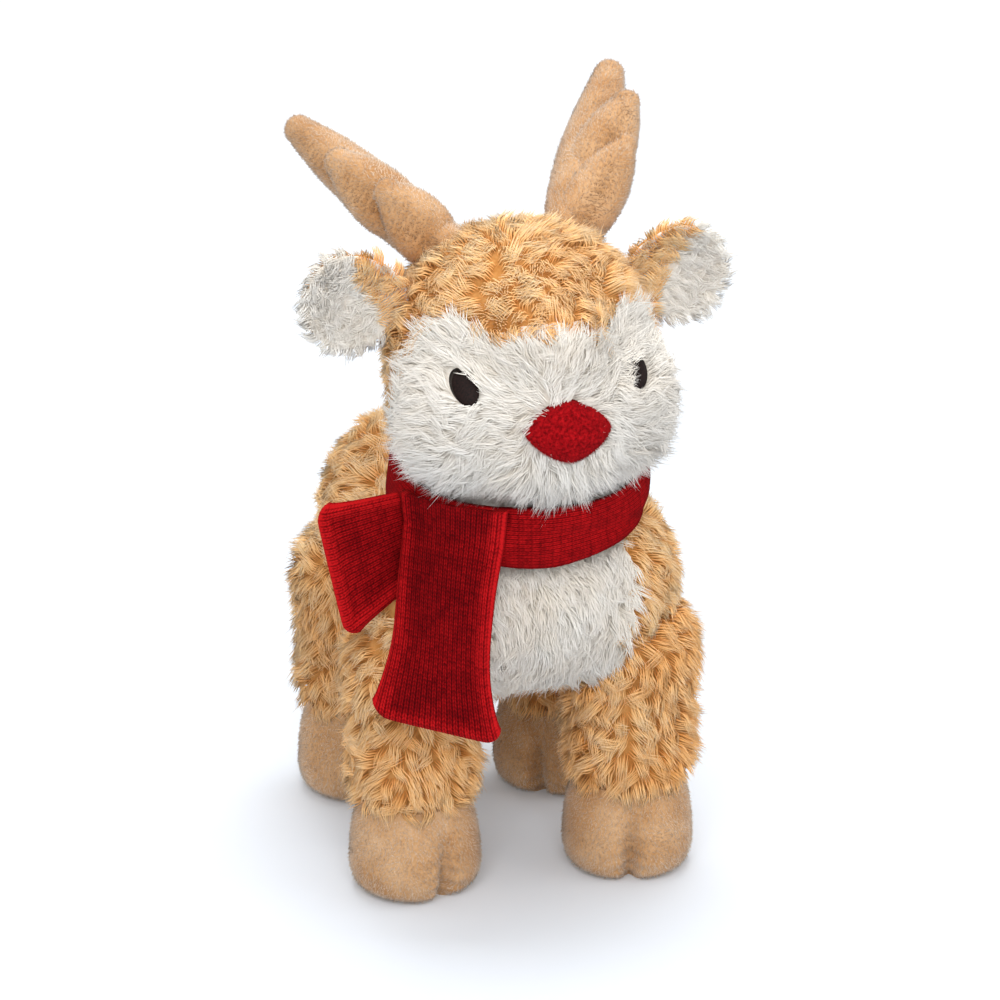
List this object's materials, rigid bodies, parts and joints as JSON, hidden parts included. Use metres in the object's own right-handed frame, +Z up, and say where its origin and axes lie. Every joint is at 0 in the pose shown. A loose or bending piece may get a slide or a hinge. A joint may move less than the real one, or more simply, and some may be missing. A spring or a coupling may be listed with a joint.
{
  "type": "plush deer",
  "caption": "Standing plush deer of tufted pile cloth with padded antlers and hooves, a felt nose and a knitted scarf.",
  "frame": {"origin": "on the ground under the middle of the toy", "axes": "+Z up, the deer faces -Y, its own left side is +X"},
  "size_m": [0.168, 0.208, 0.3016],
  "materials": {
    "pile_cloth_tan": "matte, long tufted pile",
    "pile_cloth_cream": "matte, long straight pile",
    "nap_cloth_beige": "soft short nap",
    "felt_red": "matte felt",
    "knit_red": "matte plain knit",
    "thread_dark": "satin embroidery thread",
    "filling_white": "loose polyester fibre"
  },
  "bodies": {
    "trunk": {"body_cover": "pile_cloth_tan", "body_stuffing": "filling_white", "chest_panel": "pile_cloth_cream", "scarf_loop": "knit_red"},
    "neck": {"neck": "pile_cloth_tan"},
    "head": {"head_cover": "pile_cloth_tan", "face_panel": "pile_cloth_cream", "head_stuffing": "filling_white", "nose": "felt_red", "left_eye": "thread_dark", "right_eye": "thread_dark"},
    "left_ear": {"left_ear_back": "pile_cloth_tan", "left_ear_lining": "pile_cloth_cream"},
    "right_ear": {"right_ear_back": "pile_cloth_tan", "right_ear_lining": "pile_cloth_cream"},
    "left_antler": {"left_antler_cover": "nap_cloth_beige", "left_antler_stuffing": "filling_white"},
    "right_antler": {"right_antler_cover": "nap_cloth_beige", "right_antler_stuffing": "filling_white"},
    "tail": {"tail": "pile_cloth_tan"},
    "scarf_front_end": {"scarf_front_end": "knit_red"},
    "scarf_side_end": {"scarf_side_end": "knit_red"},
    "front_left_leg": {"front_left_leg_cover": "pile_cloth_tan", "front_left_leg_stuffing": "filling_white", "front_left_hoof": "nap_cloth_beige"},
    "front_right_leg": {"front_right_leg_cover": "pile_cloth_tan", "front_right_leg_stuffing": "filling_white", "front_right_hoof": "nap_cloth_beige"},
    "rear_left_leg": {"rear_left_leg_cover": "pile_cloth_tan", "rear_left_leg_stuffing": "filling_white", "rear_left_hoof": "nap_cloth_beige"},
    "rear_right_leg": {"rear_right_leg_cover": "pile_cloth_tan", "rear_right_leg_stuffing": "filling_white", "rear_right_hoof": "nap_cloth_beige"}
  },
  "joints": [
    {"name": "head_turn", "type": "hinge", "parent": "trunk", "child": "neck", "pos_m": [0, -0.036, 0.16], "axis": [0, 0, 1], "range_deg": [-20, 20], "stiffness_Nm_per_rad": 0.5},
    {"name": "head_nod", "type": "hinge", "parent": "neck", "child": "head", "pos_m": [0, -0.036, 0.16], "axis": [1, 0, 0], "range_deg": [-6, 6], "stiffness_Nm_per_rad": 1.5},
    {"name": "left_ear_fold", "type": "hinge", "parent": "head", "child": "left_ear", "pos_m": [0.042, -0.034, 0.236], "axis": [0, 0, 1], "range_deg": [-15, 20], "stiffness_Nm_per_rad": 0.02},
    {"name": "right_ear_fold", "type": "hinge", "parent": "head", "child": "right_ear", "pos_m": [-0.042, -0.034, 0.236], "axis": [0, 0, -1], "range_deg": [-15, 20], "stiffness_Nm_per_rad": 0.02},
    {"name": "left_antler_flex", "type": "hinge", "parent": "head", "child": "left_antler", "pos_m": [0.026, -0.021, 0.25], "axis": [1, 0, 0], "range_deg": [-10, 10], "stiffness_Nm_per_rad": 0.2},
    {"name": "right_antler_flex", "type": "hinge", "parent": "head", "child": "right_antler", "pos_m": [-0.026, -0.021, 0.25], "axis": [1, 0, 0], "range_deg": [-10, 10], "stiffness_Nm_per_rad": 0.2},
    {"name": "front_left_leg_swing", "type": "hinge", "parent": "trunk", "child": "front_left_leg", "pos_m": [0.042, -0.0455, 0.092], "axis": [1, 0, 0], "range_deg": [-8, 8], "stiffness_Nm_per_rad": 2},
    {"name": "front_right_leg_swing", "type": "hinge", "parent": "trunk", "child": "front_right_leg", "pos_m": [-0.04306, -0.03941, 0.092], "axis": [1, 0, 0], "range_deg": [-8, 8], "stiffness_Nm_per_rad": 2},
    {"name": "rear_left_leg_swing", "type": "hinge", "parent": "trunk", "child": "rear_left_leg", "pos_m": [0.03988, 0.03755, 0.092], "axis": [1, 0, 0], "range_deg": [-8, 8], "stiffness_Nm_per_rad": 2},
    {"name": "rear_right_leg_swing", "type": "hinge", "parent": "trunk", "child": "rear_right_leg", "pos_m": [-0.03803, 0.05557, 0.092], "axis": [1, 0, 0], "range_deg": [-8, 8], "stiffness_Nm_per_rad": 2},
    {"name": "tail_swing", "type": "hinge", "parent": "trunk", "child": "tail", "pos_m": [0, 0.07746, 0.136], "axis": [1, 0, 0], "range_deg": [-20, 20], "stiffness_Nm_per_rad": 0.05},
    {"name": "front_end_lift", "type": "hinge", "parent": "trunk", "child": "scarf_front_end", "pos_m": [-0.03838, -0.07056, 0.16695], "axis": [-0.6691, 0.7431, 0], "range_deg": [0, 45]},
    {"name": "side_end_swing", "type": "hinge", "parent": "trunk", "child": "scarf_side_end", "pos_m": [-0.04948, -0.0412, 0.15332], "axis": [0.2402, -0.1201, -0.9633], "range_deg": [-12, 12], "stiffness_Nm_per_rad": 0.02}
  ]
}
